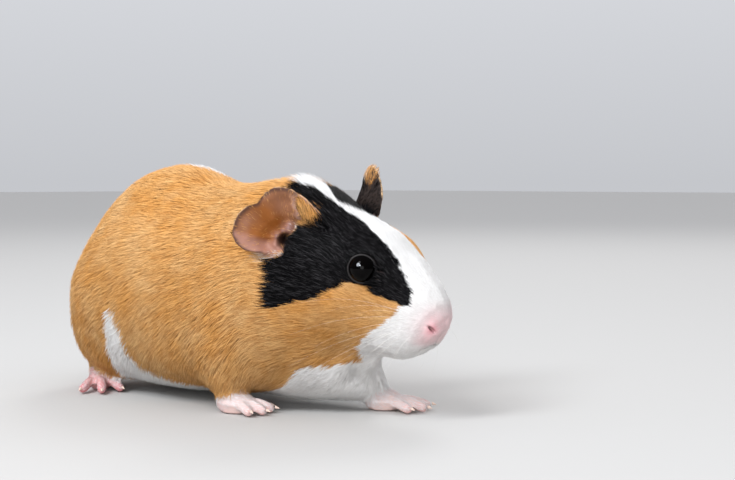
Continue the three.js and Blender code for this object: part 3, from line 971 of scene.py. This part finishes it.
def skinMaterial():
    made, tree, surface = newMaterial("skin")
    place = addNode(tree, "ShaderNodeTexCoord").outputs["Object"]
    grain = noiseNode(tree, place, 900.0, 3.0)
    # Where it shows between the tufts the skin takes the darker end of the coat's colours, from 0.2 to 0.6:
    # painted shade under the hair, mottled by a noise grain.
    haired = {
        "White": attributeNode(tree, "white"),
        "Black": attributeNode(tree, "black"),
        "Shade": mathNode(tree, "ADD", mathNode(tree, "MULTIPLY", grain, 0.4), 0.2),
    }
    haired = addNode(tree, "ShaderNodeGroup", haired, node_tree=coatColour).outputs["Color"]
    tint = addNode(tree, "ShaderNodeAttribute", attribute_name="tint").outputs["Vector"]
    darker = vectorNode(tree, "SCALE", tint, 0.62)
    mottled = mixColour(tree, mathNode(tree, "MULTIPLY", grain, 0.35), tint, darker)
    haired = mixColour(tree, attributeNode(tree, "tinted"), haired, (0, 0, 0, 1))
    colour = vectorNode(tree, "ADD", haired, mottled)  # the tint comes already scaled by its share
    tree.links.new(colour, surface.inputs["Base Color"])
    fine = noiseNode(tree, place, 2600.0, 2.0)
    relief = addNode(tree, "ShaderNodeBump", {"Height": fine, "Strength": 0.35, "Distance": 0.00008})
    tree.links.new(relief.outputs[0], surface.inputs["Normal"])
    surface.inputs["Roughness"].default_value = 0.5
    surface.inputs["Specular IOR Level"].default_value = 0.3
    return made


skinMesh.materials.clear()
skinMesh.materials.append(skinMaterial())

tuftShape = {"ring": 0.42, "thick": 0.32}


def tuftMesh():
    ring = tuftShape["ring"]
    corners = [(0, 0, 0), (ring, -0.5, 0), (ring, 0.5, 0), (ring, 0, 0), (1, 0, 0)]
    faces = [(0, 2, 1), (0, 3, 2), (0, 1, 3), (4, 1, 2), (4, 2, 3), (4, 3, 1)]
    mesh = bpy.data.meshes.new("tuft")
    mesh.from_pydata(corners, [], faces)
    store(mesh, "along", [0, ring, ring, ring, 1])
    store(mesh, "rise", [-0.12, 0.55, 0.55, 0.55, 1.0])
    store(mesh, "crest", [0, 0, 0, 1, 0])
    store(mesh, "side", [0.5, 0, 1, 0.5, 0.5])
    return mesh


tuft = pieceFrom("tuft", tuftMesh())


def coatTree():
    tree = bpy.data.node_groups.new("coat", "GeometryNodeTree")
    wanted = {
        "Geometry": "Geometry", "Tuft": "Object", "Part": "Int", "Density": "Float", "Seed": "Int",
        "Fray": "Float", "Material": "Material",
    }
    for name, kind in wanted.items():
        tree.interface.new_socket(name, in_out="INPUT", socket_type="NodeSocket" + kind)
    tree.interface.new_socket("Geometry", in_out="OUTPUT", socket_type="NodeSocketGeometry")
    start = addNode(tree, "NodeGroupInput").outputs

    def named(name, kind="FLOAT"):
        made = addNode(tree, "GeometryNodeInputNamedAttribute", {"Name": name}, data_type=kind)
        return made.outputs["Attribute"]

    def times(one, other):
        return mathNode(tree, "MULTIPLY", one, other)

    def randomly(low, high, step):
        seed = mathNode(tree, "ADD", start["Seed"], step)
        return addNode(tree, "FunctionNodeRandomValue", {2: low, 3: high, "Seed": seed}).outputs[1]

    def keeping(geometry, name, value, kind="FLOAT"):
        inputs = {"Geometry": geometry, "Name": name, "Value": value}
        made = addNode(tree, "GeometryNodeStoreNamedAttribute", inputs, data_type=kind, domain="POINT")
        return made.outputs[0]

    def nearestOnSkin(value):
        inputs = {"Mesh": start["Geometry"], "Value": value, "Sample Position": position}
        return addNode(tree, "GeometryNodeSampleNearestSurface", inputs, data_type="FLOAT_VECTOR").outputs[0]

    position = addNode(tree, "GeometryNodeInputPosition").outputs[0]
    skinNormal = named("skinNormal", "FLOAT_VECTOR")
    chosen = addNode(tree, "FunctionNodeCompare", {2: named("coatPart", "INT"), 3: start["Part"]},
                     data_type="INT", operation="EQUAL")
    roots = addNode(tree, "GeometryNodeDistributePointsOnFaces", {
        "Mesh": start["Geometry"],
        "Selection": chosen.outputs[0],
        "Density": times(start["Density"], named("cover")),
        "Seed": start["Seed"],
    }).outputs["Points"]
    wider = times(named("coatWidth"), mathNode(tree, "POWER", randomly(0.6, 1.5, 4), 1.3))
    roots = keeping(roots, "root", position, "FLOAT_VECTOR")
    roots = keeping(roots, "shade", randomly(0.0, 1.0, 1))
    roots = keeping(roots, "stray", randomly(0.0, 1.0, 6))
    roots = keeping(roots, "lift", times(named("coatDepth"), randomly(0.6, 1.08, 5)))
    roots = keeping(roots, "thick", times(wider, tuftShape["thick"]))
    lean = addNode(tree, "FunctionNodeAxesToRotation", {0: skinNormal, 1: named("lie", "FLOAT_VECTOR")},
                   primary_axis="Z", secondary_axis="X")
    swing = addNode(tree, "FunctionNodeAxisAngleToRotation", {
        "Axis": (0, 0, 1), "Angle": times(randomly(-1.0, 1.0, 2), start["Fray"]),
    })
    turned = addNode(tree, "FunctionNodeRotateRotation", {0: lean.outputs[0], 1: swing.outputs[0]},
                     rotation_space="LOCAL")
    longer = times(named("coatLength"), randomly(0.65, 1.15, 3))
    placed = addNode(tree, "GeometryNodeInstanceOnPoints", {
        "Points": roots,
        "Instance": addNode(tree, "GeometryNodeObjectInfo", {"Object": start["Tuft"]}).outputs["Geometry"],
        "Rotation": turned.outputs[0],
        "Scale": addNode(tree, "ShaderNodeCombineXYZ", {"X": longer, "Y": wider, "Z": 1.0}).outputs[0],
    })
    solid = addNode(tree, "GeometryNodeRealizeInstances", {"Geometry": placed.outputs[0]})
    # each tuft is laid down along the curve of the skin under it
    height = mathNode(tree, "ADD", times(named("rise"), named("lift")), times(named("crest"), named("thick")))
    outwards = vectorNode(tree, "NORMALIZE", nearestOnSkin(skinNormal))
    laid = vectorNode(tree, "ADD", nearestOnSkin(position), vectorNode(tree, "SCALE", outwards, height))
    faced = keeping(solid.outputs[0], "outward", outwards, "FLOAT_VECTOR")
    moved = addNode(tree, "GeometryNodeSetPosition", {"Geometry": faced, "Position": laid})
    coated = addNode(tree, "GeometryNodeSetMaterial",
                     {"Geometry": moved.outputs[0], "Material": start["Material"]})
    addNode(tree, "NodeGroupOutput", {"Geometry": coated.outputs[0]})
    return tree


coatParts = {
    "coat_hindquarters_right": (["hindquarters"], -1), "coat_hindquarters_left": (["hindquarters"], 1),
    "coat_trunk_right": (["trunk"], -1), "coat_trunk_left": (["trunk"], 1),
    "coat_neck_right": (["neck"], -1), "coat_neck_left": (["neck"], 1),
    "coat_head_right": (["head", "eye_right"], -1), "coat_head_left": (["head", "eye_left"], 1),
    "coat_jaw": (["lower_jaw"], 0), "coat_legs": (limbNodes, 0), "coat_feet": (footNodes, 0),
    "coat_ears": (earNodes, 0),
}
faceCorners = readArray(skinMesh.polygons, "vertices", 3, np.int32)
faceStarts = faceCorners[:, 0]
faceSides = np.where(points[faceStarts, 1] < 0, -1, 1)
headSides = np.where(head[faceStarts, 1] < 0, -1, 1)
facePart = np.full(len(faceCorners), -1)
for index, (nodes, side) in enumerate(coatParts.values()):
    mine = belonging(nodes)[faceStarts]
    if side:
        mine &= (headSides if "head" in nodes else faceSides) == side
    facePart[mine] = index
store(skinMesh, "coatPart", facePart, "INT", "FACE")
dense = np.minimum(5.6 / (0.5 * np.maximum(lengths * widths, 0.2)), 12)
dense *= 1 - 0.5 * shareOf(limbNodes, 4)
dense *= 1 - 0.7 * flapShare * (1 - overEars("gold"))
dense *= 1 - 0.35 * ramp(-normals[:, 2], 0.2, 0.8)
store(skinMesh, "cover", cover * dense)
coatNodes = coatTree()
sockets = {item.name: item.identifier for item in coatNodes.interface.items_tree if item.in_out == "INPUT"}
bakePatch = 0.003  # size of a tuft's patch on the map


# Places on a unit square for the roots of one coat piece, from the form that carries it.
def unwrapped(roots, faceNormals, name):
    if name in ("coat_legs", "coat_feet"):  # four limbs side by side, each round its own upright middle
        column = (roots[:, 0] > 0).astype(int) * 2 + (roots[:, 1] > 0)
        across, up = np.zeros((2, len(roots)))
        for index in range(4):
            mine = column == index
            if not mine.any():
                continue
            spot = roots[mine]
            middle = (spot.min(axis=0) + spot.max(axis=0)) / 2
            size = np.ptp(spot, axis=0)
            across[mine] = np.arctan2(spot[:, 1] - middle[1], spot[:, 0] - middle[0]) / math.tau + 0.5
            up[mine] = (spot[:, 2] - spot[:, 2].min()) / max(size[2], mm)
        return (column + 0.05 + 0.9 * across) / 4, up
    if name == "coat_ears":
        across, up, column = np.zeros((3, len(roots)))
        for index, side in enumerate(("right", "left")):
            mine = (roots[:, 1] > headOrigin[1]) == (side == "left")
            forward, lower, _, _ = earPlaces(roots[mine], side)
            column[mine] = index * 2 + (faceNormals[mine] @ earFacing(side) > 0)
            across[mine], up[mine] = forward / 50 + 0.5, 0.5 - lower / 50
        return (column + across) / 4, up
    place = toHead(roots) if name.startswith("coat_head") or name == "coat_jaw" else roots
    low, high = place.min(axis=0), place.max(axis=0)
    along = (place[:, 0] - low[0]) / (high[0] - low[0])
    middle = (low[2] + high[2]) / 2
    whole = name == "coat_jaw"  # the only one with both its sides on one map
    around = np.arctan2(place[:, 2] - middle, place[:, 1] if whole else np.abs(place[:, 1]))
    return along, around / (math.tau if whole else math.pi) + 0.5


def addBakeMap(mesh, name):
    roots = readArray(mesh.attributes["root"].data, "vector").astype(float)
    outward = readArray(mesh.attributes["outward"].data, "vector").astype(float)
    along = readArray(mesh.attributes["along"].data, "value", 1)
    across = readArray(mesh.attributes["side"].data, "value", 1)
    u, v = unwrapped(roots, outward, name)
    places = 0.002 + np.stack([0.99 * u + bakePatch * along, 0.99 * v + bakePatch * across], axis=1)
    corners = readArray(mesh.loops, "vertex_index", 1, np.int32)
    uv = mesh.uv_layers.new(name="OFBake")
    uv.data.foreach_set("uv", places[corners].astype(np.float32).ravel())


def grownCoat(name, index, settings):
    carrier = pieceFrom(name, skinMesh)
    grow = carrier.modifiers.new("grow", "NODES")
    grow.node_group = coatNodes
    for key, value in {"Tuft": tuft, "Part": index, "Seed": 40 + index, **settings}.items():
        grow[sockets[key]] = value
    mesh = evaluated(carrier)
    carrier.modifiers.remove(grow)
    carrier.data = mesh
    placed = pointsOf(mesh)
    placed[:, 2] = np.maximum(placed[:, 2], 0.05 * mm)
    setPoints(mesh, placed)
    own = normalsOf(mesh)
    outward = readArray(mesh.attributes["outward"].data, "vector").astype(float)
    mesh.shade_smooth()
    mesh.normals_split_custom_set_from_vertices(unit(own * 0.22 + outward * 0.78).tolist())
    addBakeMap(mesh, name)
    corners = len(tuft.data.vertices)  # a tuft takes the colours of the place where its middle shows
    shown = placed.reshape(-1, corners, 3)[:, 1:].mean(axis=1)
    held = {}
    for key in ("own", "ownWhite", "ownBlack", "isHead"):
        held[key] = readArray(mesh.attributes[key].data, "value", 1)[::corners]
    for key, share in zip(("white", "black"), markShares(shown, held["isHead"])):
        share = share * (1 - held["own"]) + held["own" + key.title()]
        mesh.attributes[key].data.foreach_set("value", np.repeat(share, corners).astype(np.float32))
    mesh.materials.clear()
    mesh.materials.append(coatSurface)
    kept = ("white", "black", "blush", "shade", "stray", "along", "position", "custom_normal", "OFBake")
    spare = [item.name for item in mesh.attributes if item.name not in kept
             and not (item.name.startswith(".") or item.is_required or item.is_internal)]
    for key in spare:
        mesh.attributes.remove(mesh.attributes[key])
    return carrier


coatSettings = {"Density": 1e6, "Fray": 0.22, "Material": coatSurface}
for index, name in enumerate(coatParts):
    piece = grownCoat(name, index, coatSettings)
    print(name, len(piece.data.polygons))
    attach(piece, "root")
bpy.data.objects.remove(tuft)


def plainMaterial(name, colour, roughness, **values):
    made, _, surface = newMaterial(name)
    surface.inputs["Base Color"].default_value = (*colour, 1)
    surface.inputs["Roughness"].default_value = roughness
    for key, value in values.items():
        surface.inputs[key.replace("_", " ")].default_value = value
    return made


eyeSurface = plainMaterial("eye", (0.0003, 0.0002, 0.0002), 0.03, IOR=1.4, Specular_IOR_Level=0.1)
clawSurface = plainMaterial("claw", (0.72, 0.55, 0.46), 0.32)
whiskerSurface = plainMaterial("whisker", (0.86, 0.82, 0.76), 0.35)

for node, middle in eyeMiddles.items():
    ball = bmesh.new()
    bmesh.ops.create_uvsphere(ball, u_segments=64, v_segments=40, radius=headShape["eyeRadius"])
    axis = Vector(eyeAxis(node))
    for vertex in ball.verts:  # the cornea bulges a little
        share = max(0.0, vertex.co.normalized().dot(axis))
        vertex.co += axis * eyeShape["cornea"] * mm * ramp(share, 0.6, 1.0)
        vertex.co += Vector(middle)
    mesh = bpy.data.meshes.new(node + "_ball")
    ball.to_mesh(mesh)
    ball.free()
    mesh.shade_smooth()
    mesh.materials.append(eyeSurface)
    piece = pieceFrom(node + "_ball", mesh)
    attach(piece, "root")
    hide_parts(node)

for node in clawNodes:
    horn = bmesh.new()
    horn.from_mesh(frame["nodes"][node].data)
    bmesh.ops.remove_doubles(horn, verts=horn.verts, dist=0.01 * mm)
    mesh = bpy.data.meshes.new(node + "_horn")
    horn.to_mesh(mesh)
    horn.free()
    piece = pieceFrom(node + "_horn", mesh)
    softer = piece.modifiers.new("softer", "SUBSURF")
    softer.levels = softer.render_levels = 2
    rounded = evaluated(piece)
    piece.modifiers.clear()
    piece.data = rounded
    rounded.shade_smooth()
    rounded.materials.clear()
    rounded.materials.append(clawSurface)
    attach(piece, "root")
    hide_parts(node)

whiskerShape = {
    "rows": 4, "inRow": 4, "radius": 0.03, "sides": 5, "steps": 12, "longest": 40.0, "shortest": 15.0,
    "pad": ((59, 9.0, -5.5), (50.5, 12.5, -17.5)),  # its front top and rear bottom, in the head's frame
}


# A closed tapering tube along a path: corners and faces.
def tube(path, radii, sides):
    path = np.asarray(path, float)
    heading = unit(np.gradient(path, axis=0))
    aside = unit(np.cross(heading, [0.31, 0.17, 0.94]))
    above = np.cross(heading, aside)
    turns = np.arange(sides) * math.tau / sides
    rings = path[:, None] + radii[:, None, None] * (
        np.cos(turns)[None, :, None] * aside[:, None] + np.sin(turns)[None, :, None] * above[:, None])
    corners = np.vstack([path[:1], rings.reshape(-1, 3), path[-1:]])
    count = len(path)
    faces = []
    for step in range(count - 1):
        for i in range(sides):
            a, b = 1 + step * sides + i, 1 + step * sides + (i + 1) % sides
            faces.append((a, a + sides, b + sides, b))
    for i in range(sides):
        faces.append((0, 1 + i, 1 + (i + 1) % sides))
        faces.append((len(corners) - 1, len(corners) - 2 - i, len(corners) - 2 - (i + 1) % sides))
    return corners, faces


# Each whisker: its root near the skin, the way it leaves and its length, in the head's frame.
def whiskerRoots():
    dice = np.random.default_rng(12)
    top, bottom = np.array(whiskerShape["pad"])
    shortest, longest = whiskerShape["shortest"], whiskerShape["longest"]
    for row in range(whiskerShape["rows"]):
        for column in range(whiskerShape["inRow"]):
            down = (row + 0.5) / whiskerShape["rows"]
            back = (column + 0.5 * (row % 2)) / whiskerShape["inRow"]
            root = top + (bottom - top) * [back, 0.5 * back + 0.5 * down, down]
            leave = dice.normal([0.05 - 0.75 * back, 0.85 - 0.1 * back, 0.3 - 1.3 * down], 0.12)
            reach = shortest + (longest - shortest) * (0.25 + 0.75 * back)
            yield root + dice.normal(0, 0.35, 3), leave, reach * dice.uniform(0.75, 1.05)


skinTree = BVHTree.FromPolygons([Vector(place) for place in points], faceCorners.tolist())
corners, faces = [], []
for side in (-1, 1):
    for root, leave, reach in whiskerRoots():
        flip = np.array([1, side, 1])
        found = skinTree.find_nearest(Vector(fromHead(root * flip * mm)))
        start = np.array(found[0]) - np.array(found[1]) * 0.4 * mm
        heading = headAxes @ unit(leave * flip)
        share = np.linspace(0, 1, whiskerShape["steps"])[:, None]
        droop = np.array([-0.25, 0, -0.22]) * share ** 2
        path = start + (heading * share + droop * share) * reach * mm
        path[:, 2] = np.maximum(path[:, 2], 1.0 * mm)
        radii = whiskerShape["radius"] * mm * (1 - 0.82 * share[:, 0])
        placed, made = tube(path, radii, whiskerShape["sides"])
        faces += [tuple(len(corners) + corner for corner in face) for face in made]
        corners += placed.tolist()
whiskerMesh = bpy.data.meshes.new("whiskers")
whiskerMesh.from_pydata(corners, [], faces)
whiskerMesh.materials.append(whiskerSurface)
whiskers = pieceFrom("whiskers", whiskerMesh)
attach(whiskers, "root")

view = {"aim": (0.036, 0.033, 0.066), "turn": 43.0, "drop": 2.57, "distance": 0.5394, "lens": 64.4}
floorMesh = bpy.data.meshes.new("floor")
floorMesh.from_pydata([(-9, -9, 0), (9, -9, 0), (9, 9, 0), (-9, 9, 0)], [], [(0, 1, 2, 3)])
floorSurface, _, floorShader = newMaterial("floor")
floorShader.inputs["Base Color"].default_value = (0.50, 0.49, 0.475, 1)
floorShader.inputs["Roughness"].default_value = 0.8
floorMesh.materials.append(floorSurface)
floor = pieceFrom("floor", floorMesh)

turn, drop = math.radians(view["turn"]), math.radians(view["drop"])
back = Vector((math.sin(turn) * math.cos(drop), -math.cos(turn) * math.cos(drop), math.sin(drop)))
camera = bpy.data.objects.new("camera", bpy.data.cameras.new("camera"))
bpy.context.scene.collection.objects.link(camera)
camera.location = Vector(view["aim"]) + back * view["distance"]
camera.rotation_euler = (-back).to_track_quat("-Z", "Y").to_euler()
camera.data.lens = view["lens"]
camera.data.clip_start = 0.01
bpy.context.scene.camera = camera


def softLight(name, place, size, watts, tint=(1, 1, 1)):
    lamp = bpy.data.lights.new(name, "AREA")
    lamp.shape = "DISK"
    lamp.size = size
    lamp.energy = watts
    lamp.color = tint
    holder = bpy.data.objects.new(name, lamp)
    bpy.context.scene.collection.objects.link(holder)
    holder.location = place
    holder.rotation_euler = (Vector((0, 0, 0.05)) - Vector(place)).to_track_quat("-Z", "Y").to_euler()
    return holder


softLight("keyLight", (0.15, -1.0, 1.5), 0.45, 8)
softLight("fillLight", (0.95, -1.1, 0.3), 0.7, 6)
softLight("rimLight", (-0.6, 1.1, 1.3), 0.7, 7)
softLight("windowLight", (0.0, -1.05, 0.95), 0.45, 10, (0.9, 0.95, 1.0))
# two catch lights that only the eyes receive
onlyEyes = bpy.data.collections.new("onlyEyes")
for name in eyeNodes:
    onlyEyes.objects.link(bpy.data.objects[name + "_ball"])
catchLight = softLight("catchLight", (0.1, -1.0, 0.7), 0.6, 75, (0.86, 0.93, 1.0))
sparkLight = softLight("sparkLight", (0.45, -1.0, 0.6), 0.2, 22, (0.86, 0.93, 1.0))
for holder in (catchLight, sparkLight):
    holder.light_linking.receiver_collection = onlyEyes
world = bpy.data.worlds.new("room")
bpy.context.scene.world = world
world.use_nodes = True
sky = world.node_tree
place = addNode(sky, "ShaderNodeTexCoord").outputs["Generated"]
height = addNode(sky, "ShaderNodeSeparateXYZ", {0: place}).outputs["Z"]
glow = rangeNode(sky, height, 0.0, 0.7, 0.60, 1.15)
# a dark studio beyond the lamps, as the eye's gloss shows it
mirrored = addNode(sky, "ShaderNodeLightPath").outputs["Is Glossy Ray"]
seen = mathNode(sky, "SUBTRACT", 1.0, mathNode(sky, "MULTIPLY", mirrored, 0.8))
sky.links.new(mathNode(sky, "MULTIPLY", glow, seen), sky.nodes["Background"].inputs["Strength"])
sky.nodes["Background"].inputs["Color"].default_value = (0.93, 0.95, 1.0, 1)
bpy.context.scene.view_settings.view_transform = "Standard"

print("floor, light and camera set")
